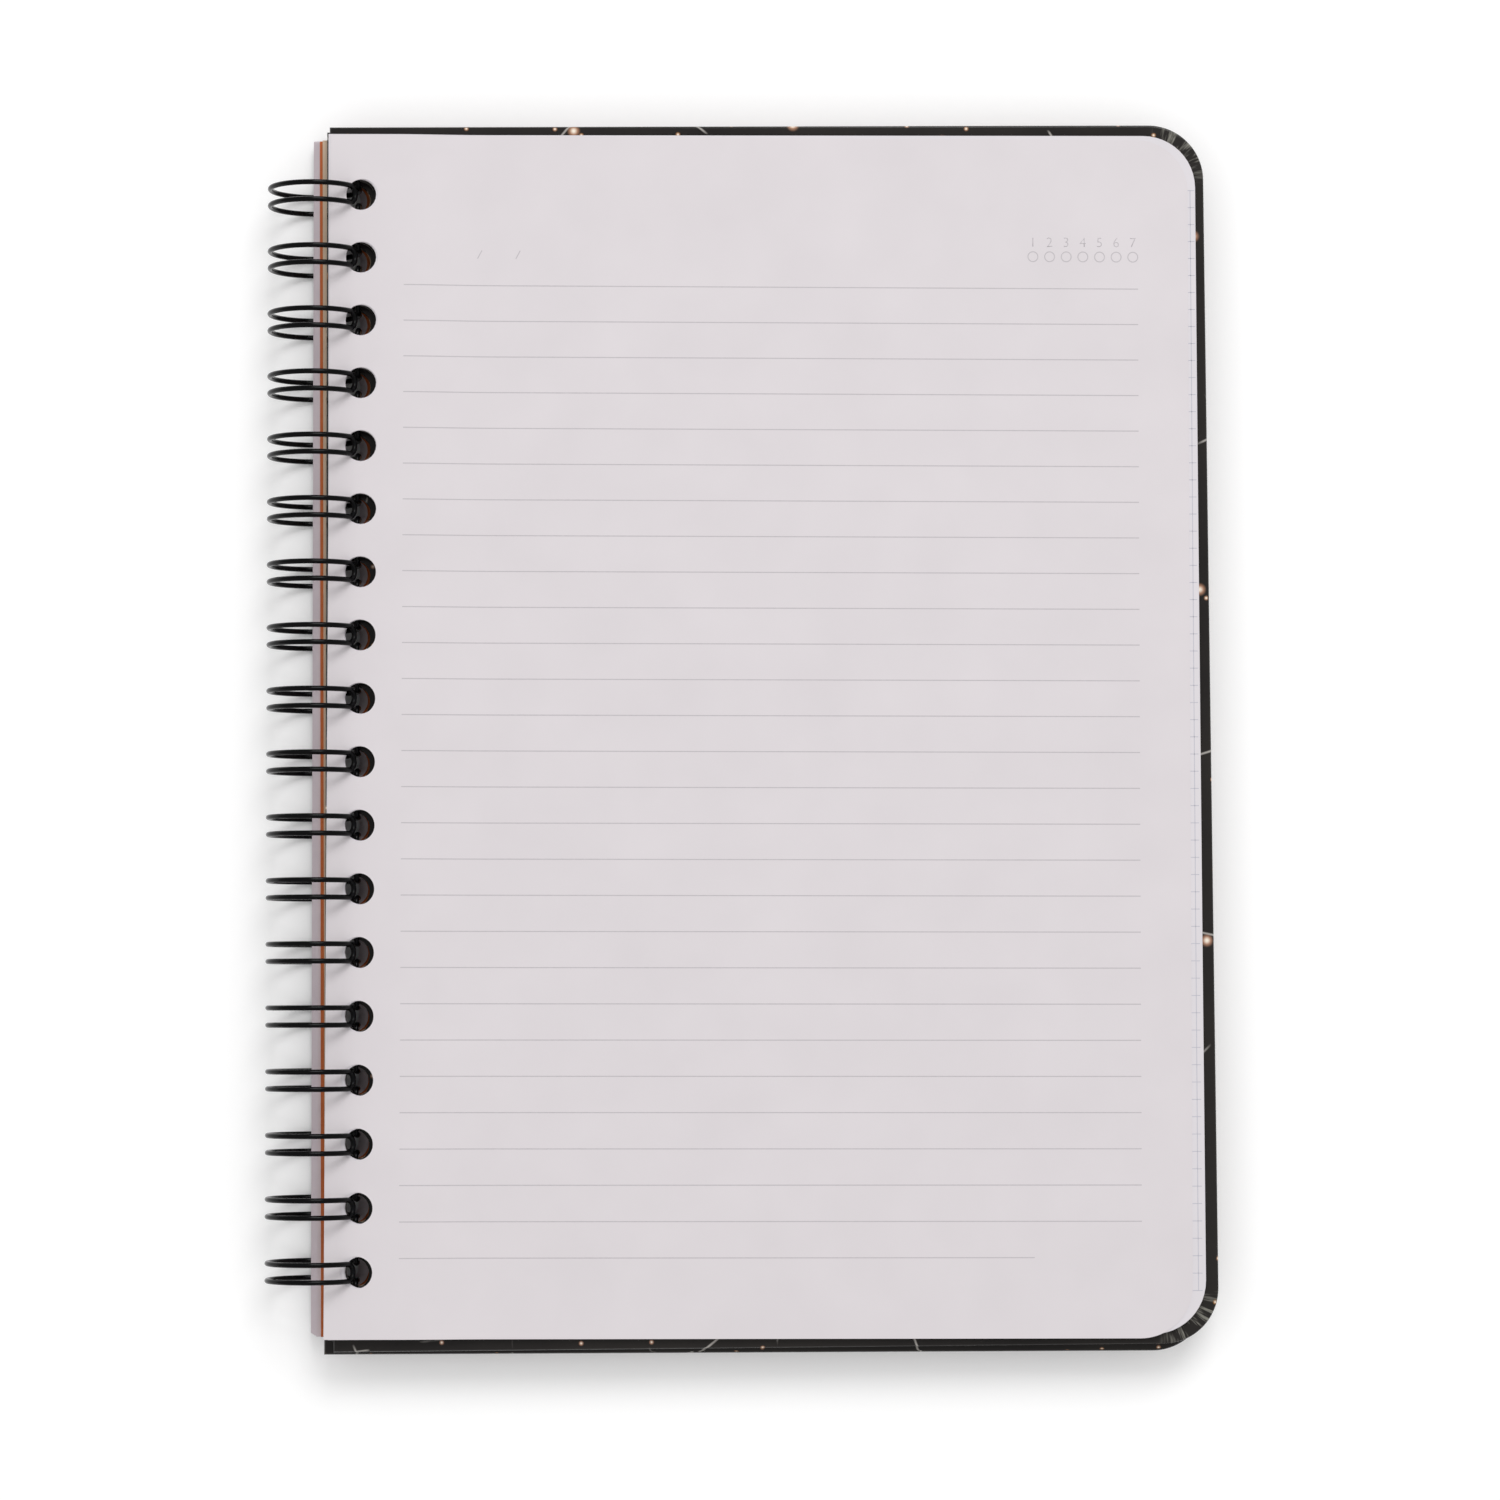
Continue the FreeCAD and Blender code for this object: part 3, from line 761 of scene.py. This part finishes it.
def pleat_corners(piece, thick):
    """Gathers the flap at the two fore corners in small radial pleats."""
    draw = random.Random(11)
    edge = EDGE_EASE + CLOSE
    edit(piece)
    pick("faces", lambda f: f.normal.z > 0.99)
    bpy.ops.mesh.inset(thickness=RIM)
    bpy.ops.mesh.inset(thickness=RIM_FADE)
    xs, ys, _ = zip(*(v.co for v in bmesh.from_edit_mesh(piece.data).verts))
    centre_x = max(xs) - COVER_CORNER
    for end, centre_y in ((1, max(ys) - COVER_CORNER), (-1, min(ys) + COVER_CORNER)):
        for pleat in range(1, PLEATS):
            angle = math.pi / 2 * pleat / PLEATS

            def on_pleat(v):
                out = Vector((v.co.x - centre_x, (v.co.y - centre_y) * end))
                return (v.co.z > thick - CLOSE and min(out) > PLEATS_IN
                        and out.length < COVER_CORNER - edge
                        and abs(math.atan2(out.y, out.x) - angle) < math.radians(1))

            lift = PLEAT_HEIGHT * draw.choice(PLEAT_LEVELS) * draw.uniform(0.6, 1.0)
            pick("verts", on_pleat)
            bpy.ops.transform.translate(value=(0, 0, lift))
    done()


def build_board():
    reach = LIE["back_cover"]["reach"]
    piece = sheet("board", BOARD, reach, BOARD_THICK, facets=PLEATS)
    ease_edges(piece, EDGE_EASE - WRAP_THICK, BOARD_THICK)
    only(piece)
    piece.location.z = WRAP_THICK
    bpy.ops.object.transform_apply()
    return piece


def build_wrap(board):
    reach = LIE["back_cover"]["reach"]
    thick = BOARD_THICK + 2 * WRAP_THICK
    piece = sheet("wrap", BOARD, reach, thick, inset=-WRAP_THICK, facets=PLEATS)
    ease_edges(piece, EDGE_EASE, thick)
    pleat_corners(piece, thick)
    cut(piece, board)
    window = sheet("window", dict(BOARD, corner=TURN_IN + WINDOW_EASE), reach, thick,
                   inset=TURN_IN)
    only(window)
    window.location.z = WRAP_THICK + BOARD_THICK / 2
    bpy.ops.object.transform_apply()
    cut(piece, window)
    remove(window)
    return piece


board_pattern = build_board()
wrap_pattern = build_wrap(board_pattern)
for pattern in (board_pattern, wrap_pattern):
    punch(pattern, LIE["back_cover"]["reach"], sides=32)
    smooth(pattern, 25)
    describe(pattern)
coat(board_pattern, GREY_BOARD)

# %% [markdown]
# The two covers are the same piece.  The back one lies with its inner face up.  The
# front one was turned right round the loops, so it is a copy flipped over.  Weighted
# normals let the wide margins take the light as flat faces, beside their eased edges.

# %% Set the covers on the pile
def set_cover(side, body, inner_up):
    """Finishes the board and the wrap of one cover at its place in the pile."""
    lie = LIE[side + "_cover"]
    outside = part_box(side + "_cover_wrap")[0 if inner_up else 1].z
    for pattern, part, slot in ((board_pattern, "board", "grey_board"),
                                (wrap_pattern, "wrap", "printed_wrap")):
        piece = duplicate(pattern, "%s_cover_%s_finished" % (side, part))
        only(piece)
        if not inner_up:
            piece.scale.z = -1
            bpy.ops.object.transform_apply()
        piece.location.x = lie["reach"] - LIE["back_cover"]["reach"]
        bpy.ops.object.transform_apply()
        place(piece, outside, lie["skew"], lie["slip"])
        if not inner_up:
            edit(piece)
            bpy.ops.mesh.normals_make_consistent(inside=False)
            done()
        if part == "wrap":
            apply_modifier(piece, "WEIGHTED_NORMAL", keep_sharp=True)
            coat(piece, PRINTED_WRAPS[side])
        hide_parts("%s_cover_%s" % (side, part))
        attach(piece, body)
        describe(piece)


set_cover("back", "spine", inner_up=True)
set_cover("front", "front_section", inner_up=False)
remove(board_pattern)
remove(wrap_pattern)

# %% [markdown]
# ## Leaves
#
# The leaves that the loops hold in front of the cover pass over the links at the spine
# and come down to the cover in a soft S.  A flat leaf gets that shape by proportional
# editing: the strip at the holes is lifted, and the paper behind it follows less and
# less.  Each leaf of a pile is a copy with a hair of its own shift and turn, because a
# pile that has been leafed through is never quite square.

# %% The ruled leaf on top
BLOCK_BEND = dict(start=16.0 * MM, length=19.0 * MM, columns=10)
RULED_BEND = dict(BLOCK_BEND, start=16.8 * MM, columns=16)
LEAF_THICK = 0.1 * MM
PAGE_PLAY = 0.1 * MM
PAGE_RISE = LINK_PLAY + WIRE + PAGE_PLAY - LINING_THICK

RULED_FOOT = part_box("ruled_leaf")[1].z - PAGE_RISE
ruled = sheet("ruled_leaf_finished", RULED_LEAF, LIE["ruled_leaf"]["reach"], LEAF_THICK,
              facets=20)
punch(ruled, LIE["ruled_leaf"]["reach"], sides=40)
draw_up(ruled, PAGE_RISE, RULED_BEND)
coat(ruled, RULED_PAPER)
describe(ruled)

# %% [markdown]
# ## Ruling
#
# The print is modelled as ink: thin strips that lie on the paper.  A rule is a plane
# stretched to a line, cut across where the paper bends, repeated down the page, dropped
# on to the leaf with a shrinkwrap and thickened by a hundredth of a millimetre.  The
# head of the page has two slashes for a date, and a row of seven tick circles with the
# plain numbers 1 to 7 over them for the days.

# %% Rules, slashes, circles and numbers
INK = 0.012 * MM
RULE_WIDTH = 0.2 * MM
RULE_PITCH = 7.22 * MM
RULE_FIRST_Y = 89.8 * MM
RULE_LEFT = 17.8 * MM
RULE_RIGHT = 166.0 * MM
LAST_RULE_RIGHT = 144.5 * MM
RULES = 28
SLASH_XS = (33.0 * MM, 40.7 * MM)
SLASH_Y = 96.1 * MM
SLASH_HEIGHT = 1.9 * MM
SLASH_LEAN = 28
TICKS = 7
TICK_FIRST_X = 144.7 * MM
TICK_PITCH = 3.375 * MM
TICK_Y = 96.3 * MM
TICK_RADIUS = 1.1 * MM
NUMBER_Y = 98.3 * MM
NUMBER_SIZE = 2.85 * MM
NUMBER_THINNED = -0.02
OVER_PAPER = 5.0 * MM


def strip(left, right, y, width, bend=None):
    """A flat strip along X at a height over the paper, cut across where that bends."""
    bpy.ops.mesh.primitive_plane_add(size=1)
    piece = bpy.context.object
    piece.scale = (right - left, width, 1)
    piece.location = ((left + right) / 2, y, OVER_PAPER)
    bpy.ops.object.transform_apply()
    if bend:
        edit(piece)
        cut_across(**bend)
        done()
    return piece


def slash(x):
    piece = strip(-SLASH_HEIGHT / 2, SLASH_HEIGHT / 2, 0, RULE_WIDTH)
    piece.rotation_euler.z = math.radians(90 - SLASH_LEAN)
    piece.location = (x, SLASH_Y, 0)
    bpy.ops.object.transform_apply()
    return piece


def tick_circle(x):
    """A thin ring: a circle whose rim is extruded in place and drawn in."""
    bpy.ops.mesh.primitive_circle_add(vertices=32, radius=TICK_RADIUS,
                                      location=(x, TICK_Y, OVER_PAPER))
    piece = bpy.context.object
    edit(piece)
    bpy.ops.mesh.extrude_region_move()
    inner = 1 - RULE_WIDTH / TICK_RADIUS
    bpy.ops.transform.resize(value=(inner, inner, 1))
    done()
    bpy.ops.object.transform_apply()
    return piece


def numeral(digit, x):
    bpy.ops.object.text_add(location=(x, NUMBER_Y, OVER_PAPER))
    text = bpy.context.object
    text.data.body = str(digit)
    text.data.size = NUMBER_SIZE
    text.data.align_x = "CENTER"
    text.data.offset = NUMBER_THINNED * NUMBER_SIZE
    text.data.resolution_u = 3
    only(text)
    bpy.ops.object.convert(target="MESH")
    bpy.ops.object.transform_apply()
    return bpy.context.object


def lay_ink(pieces, name, paper_piece, under=False):
    """Lays the printed shapes on a leaf, or under it, and gives the ink its thickness."""
    piece = join(pieces, name)
    edit(piece)
    pick("faces", lambda f: f.normal.z < 0)
    bpy.ops.mesh.flip_normals()
    if under:
        bpy.ops.mesh.select_all(action="SELECT")
        bpy.ops.transform.translate(value=(0, 0, -2 * OVER_PAPER))
    done()
    apply_modifier(piece, "SHRINKWRAP", target=paper_piece, wrap_method="PROJECT",
                   use_project_z=True, use_negative_direction=not under,
                   use_positive_direction=under, offset=0)
    apply_modifier(piece, "SOLIDIFY", thickness=INK, offset=-1 if under else 1)
    return piece


def rules(bend, last_right):
    """All the rules of a page; the last may stop short."""
    upper = strip(RULE_LEFT, RULE_RIGHT, RULE_FIRST_Y, RULE_WIDTH, bend)
    repeat(upper, (0, -RULE_PITCH, 0), RULES - 1)
    last_y = RULE_FIRST_Y - RULE_PITCH * (RULES - 1)
    return [upper, strip(RULE_LEFT, last_right, last_y, RULE_WIDTH, bend)]


ruling = lay_ink(rules(RULED_BEND, LAST_RULE_RIGHT), "page_ruling", ruled)
coat(ruling, GREY_INK)

heading = [slash(x) for x in SLASH_XS]
tick_xs = [TICK_FIRST_X + TICK_PITCH * i for i in range(TICKS)]
heading += [tick_circle(x) for x in tick_xs]
heading += [numeral(i + 1, x) for i, x in enumerate(tick_xs)]
heading = lay_ink(heading, "page_heading", ruled)
coat(heading, GREY_INK)

for piece in (ruled, ruling, heading):
    place(piece, RULED_FOOT - LEAF_THICK, LIE["ruled_leaf"]["skew"])
    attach(piece, "page_section")
    describe(piece)
smooth(ruled)
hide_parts("ruled_leaf")

# %% [markdown]
# ## The piles
#
# The leaves under the ruled one share its S and lie close on each other.  The pile that
# was turned to the back is different: the loops draw its lowest leaves up at the spine,
# and because the loops are round, each deeper leaf sits a little nearer the binding.
# Between the leaves of that pile there is air towards the fore edge.
#
# The block's pages are printed with small squares, on its top leaf, where a narrow strip
# of them shows beside the ruled leaf, and on its underside.  The outermost turned leaf is
# ruled on the side that faces the reader when the notebook is opened flat.

# %% The squared block under the ruled leaf
BLOCK_LEAVES = 10
BLOCK_FILL = 0.8
SHIFT = 0.1 * MM
TURN = 0.03
SQUARE = 3.464 * MM
SQUARE_ROWS = 65
SQUARE_COLUMNS = 47
SQUARES_HEAD = 109.45 * MM
SQUARES_RIGHT = 176.9 * MM
SQUARES_END = 177.8 * MM
SQUARES_SKEW = -0.13
SQUARE_LINE = 0.15 * MM
shuffle = random.Random(5)


def loose(piece, height, lie, lean=0.0):
    """Sets a leaf of a pile down with a small shift and turn of its own."""
    place(piece, height, lie["skew"] + shuffle.uniform(-TURN, TURN),
          lie["slip"] + shuffle.uniform(-SHIFT, SHIFT),
          lean + shuffle.uniform(-SHIFT, SHIFT))


def squared_print(name, leaf, under=False):
    """Small squares all over one side of a leaf."""
    left = SQUARES_RIGHT - SQUARE * (SQUARE_COLUMNS - 1)
    tall = SQUARE * (SQUARE_ROWS - 1)
    across = strip(left, SQUARES_END, SQUARES_HEAD, SQUARE_LINE, BLOCK_BEND)
    repeat(across, (0, -SQUARE, 0), SQUARE_ROWS)
    down = strip(left, left + SQUARE_LINE, SQUARES_HEAD - tall / 2, tall)
    repeat(down, (SQUARE, 0, 0), SQUARE_COLUMNS)
    for piece in (across, down):
        only(piece)
        piece.rotation_euler.z = math.radians(SQUARES_SKEW)
        bpy.ops.object.transform_apply()
    return lay_ink([across, down], name, leaf, under)


def block_leaves():
    """The block without its top leaf, that leaf, and the squares on and under it all."""
    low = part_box("page_block")[0].z + INK
    pitch = (RULED_FOOT - LEAF_THICK - low) / BLOCK_LEAVES
    lie = LIE["page_block"]
    first = sheet("leaf", LEAF, lie["reach"], pitch * BLOCK_FILL, facets=12)
    punch(first, lie["reach"], sides=24)
    draw_up(first, PAGE_RISE, BLOCK_BEND)
    over = squared_print("squares_over_block", first)
    under = squared_print("squares_under_block", first, under=True)
    pieces = []
    for number in range(BLOCK_LEAVES - 1):
        leaf = duplicate(first, "leaf")
        if number:
            loose(leaf, low + pitch * number, lie)
        else:
            place(leaf, low, lie["skew"])
        pieces.append(leaf)
    place(under, low, lie["skew"])
    for piece in (first, over):
        place(piece, low + pitch * (BLOCK_LEAVES - 1), lie["skew"])
    return join(pieces, "page_block_leaves"), first, over, under


block_pile, squared_leaf, squares_over, squares_under = block_leaves()
squared_leaf.name = "squared_leaf"
for piece in (block_pile, squared_leaf, squares_over, squares_under):
    describe(piece)

# %% [markdown]
# ### The turned leaves
#
# The lowest leaf is kept as a piece of its own, because its ruled underside is the left
# page of the open notebook.  It slips along the loops a little less than the leaves over
# it, so that the wire stays clear of its holes.

# %% The turned leaves
TURNED_LEAVES = 44
TURNED_FILL = 0.96
TURNED_FAN = 0.42
TURNED_RISE = 1.9 * MM
TURNED_BEND = dict(start=8.0 * MM, length=20.0 * MM, columns=6)
TURNED_SLIP = 0.65 * MM
LOWEST_HELD = 0.2 * MM


def turned_leaves():
    """The turned pile without its lowest leaf, that leaf, and the rules under it."""
    low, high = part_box("turned_leaves")
    lie = LIE["turned_leaves"]
    pitch = (high.z - low.z - INK) / TURNED_LEAVES
    thick = (high.z - low.z - TURNED_RISE) / TURNED_LEAVES * TURNED_FILL
    flat = sheet("leaf", LEAF, lie["reach"], thick, facets=8)
    punch(flat, lie["reach"], sides=16)
    pieces = []
    for number in range(TURNED_LEAVES):
        share = 1 - number / (TURNED_LEAVES - 1)
        leaf = duplicate(flat, "leaf")
        draw_up(leaf, TURNED_RISE * share, TURNED_BEND)
        height = low.z + INK + pitch * number
        depth = high.z - height - TURNED_RISE * share
        slip = TURNED_SLIP * share
        if number:
            loose(leaf, height, dict(lie, slip=slip), lean=-TURNED_FAN * depth)
        else:
            verso = lay_ink(rules(TURNED_BEND, RULE_RIGHT), "turned_page_ruling", leaf,
                            under=True)
            for piece in (leaf, verso):
                place(piece, height, slip=slip - LOWEST_HELD, lean=-TURNED_FAN * depth)
        pieces.append(leaf)
    remove(flat)
    return join(pieces[1:], "turned_leaves_pile"), pieces[0], verso


turned_pile, lowest_leaf, turned_ruling = turned_leaves()
lowest_leaf.name = "lowest_turned_leaf"
for piece in (turned_pile, lowest_leaf, turned_ruling):
    describe(piece)

# %% [markdown]
# ### The intro leaves, and the dress of all piles
#
# Six tan leaves lie flat between the front cover and the divider.  Then every pile gets
# its paper and the body that carries it.

# %% The intro leaves and the materials of the piles
INTRO_LEAVES = 6
INTRO_FILL = 0.85


def intro_pile():
    low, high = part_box("intro_leaves")
    lie = LIE["intro_leaves"]
    pitch = (high.z - low.z) / INTRO_LEAVES
    flat = sheet("leaf", LEAF, lie["reach"], pitch * INTRO_FILL, facets=12)
    punch(flat, lie["reach"], sides=24)
    pieces = []
    for number in range(INTRO_LEAVES):
        leaf = duplicate(flat, "leaf")
        loose(leaf, low.z + pitch * number, lie)
        pieces.append(leaf)
    remove(flat)
    return join(pieces, "intro_leaves_pile")


intro = intro_pile()
describe(intro)
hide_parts("page_block")
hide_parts("turned_leaves")
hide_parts("intro_leaves")
for piece, material, slot, body in (
        (block_pile, BLOCK_PAPER, "writing_paper", "page_section"),
        (squared_leaf, BLOCK_PAPER, "writing_paper", "page_section"),
        (squares_over, PALE_INK, "writing_paper", "page_section"),
        (squares_under, PALE_INK, "writing_paper", "page_section"),
        (turned_ruling, GREY_INK, "turned_paper", "front_section"),
        # The turned pile's paper carries painted shade and bounced light between its
        # leaves.
        (turned_pile, SHADED_TURNED_PAPER, "turned_paper", "front_section"),
        (lowest_leaf, RULED_PAPER, "turned_paper", "front_section"),
        (intro, TAN_PAPER, "tan_paper", "front_section")):
    coat(piece, material)
    smooth(piece)
    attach(piece, body)
print("leaves in the piles:", BLOCK_LEAVES, TURNED_LEAVES, INTRO_LEAVES)

# %% [markdown]
# ## Pieces that keep their CAD shape
#
# The divider card and the two linings are plain flat sheets, and their CAD shape is
# right, so they only need their material.

# %% Dress the carried-over pieces
for node, material, slot in (("divider_card", ORANGE_CARD, "orange_card"),
                             ("back_cover_lining", LINING_PAPER, "lining_paper"),
                             ("front_cover_lining", LINING_PAPER, "lining_paper")):
    coat(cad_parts[node], material)
    print("kept from the frame:", node)

# %% [markdown]
# ## Floor and light
#
# The notebook lies on a plain white sweep under soft studio light.  A broad lamp beyond
# the head of the page throws the soft shadow towards the reader, and an even white sky
# fills the rest.  In mirrored rays the sky is dimmer, like the dark room round a set of
# soft boxes, so that the wire's coat and the film stay black.
#
# The floor adds a little glow of its own for the camera and for mirrored rays only, so
# it shows white without lighting the notebook any more.  The glow fades by ambient
# occlusion where the notebook closes the floor in, as the sky's own light does, so that
# the floor is dark at the bottom of the holes.

# %% Floor
FLOOR_DROP = 0.1 * MM
FLOOR_SIZE = 6.0
FLOOR_GLOW = 0.33
SHADE_REACH = 14 * MM


def seen_directly(tree):
    """1 for camera, mirrored and refracted rays, 0 for rays that light the object."""
    path = add(tree, "ShaderNodeLightPath")
    seen = add(tree, "ShaderNodeMath", {0: path.outputs["Is Camera Ray"],
                                        1: path.outputs["Is Glossy Ray"]},
               operation="MAXIMUM")
    return add(tree, "ShaderNodeMath", {0: seen.outputs[0],
                                        1: path.outputs["Is Transmission Ray"]},
               operation="MAXIMUM").outputs[0]


bpy.ops.mesh.primitive_plane_add(size=FLOOR_SIZE, location=(0, 0, -FLOOR_DROP))
floor = bpy.context.object
floor.name = "floor"
floor_material, tree, principled = new_material("white paper sweep", Roughness=0.9)
principled.inputs["Base Color"].default_value = linear("E4E4E4")
openness = add(tree, "ShaderNodeAmbientOcclusion", {"Distance": SHADE_REACH}, samples=12)
glow = add(tree, "ShaderNodeMath", {0: seen_directly(tree), 1: FLOOR_GLOW},
           operation="MULTIPLY")
glow = add(tree, "ShaderNodeMath", {0: glow.outputs[0], 1: openness.outputs["AO"]},
           operation="MULTIPLY")
principled.inputs["Emission Color"].default_value = linear("FFFFFF")
tree.links.new(glow.outputs[0], principled.inputs["Emission Strength"])
coat(floor, floor_material)
print("floor %.1f mm under the notebook" % (FLOOR_DROP / MM))

# %% [markdown]
# The lamp is a square soft box that looks at the notebook, and the sky is the world's
# own background.

# %% Lamp and sky
LAMP_SIZE = 1.1
LAMP_AT = Vector((0.4, 1.5, 1.9))
LAMP_WATTS = 23.5
SKY = 0.69
MIRRORED_SKY = 0.6

lamp_data = bpy.data.lights.new("soft box", "AREA")
lamp_data.size = LAMP_SIZE
lamp_data.energy = LAMP_WATTS
lamp = bpy.data.objects.new("soft box", lamp_data)
bpy.context.scene.collection.objects.link(lamp)
lamp.location = LAMP_AT
lamp.rotation_euler = (-LAMP_AT).to_track_quat("-Z", "Y").to_euler()

world = bpy.data.worlds.new("even sky")
world.use_nodes = True
bpy.context.scene.world = world
sky = world.node_tree.nodes["Background"]
sky.inputs["Color"].default_value = linear("FFFFFF")
path = add(world.node_tree, "ShaderNodeLightPath")
seen = add(world.node_tree, "ShaderNodeMapRange", {
    "Value": path.outputs["Is Camera Ray"], "To Min": SKY, "To Max": 1.0})
mirrored = add(world.node_tree, "ShaderNodeMapRange", {
    "Value": path.outputs["Is Glossy Ray"], "To Min": 1.0, "To Max": MIRRORED_SKY})
strength = add(world.node_tree, "ShaderNodeMath", {0: seen.outputs[0],
                                                   1: mirrored.outputs[0]},
               operation="MULTIPLY")
world.node_tree.links.new(strength.outputs[0], sky.inputs["Strength"])
bpy.context.scene.view_settings.view_transform = "Standard"
print("lamp %.1f m from the notebook, sky %.2f" % (LAMP_AT.length, SKY))
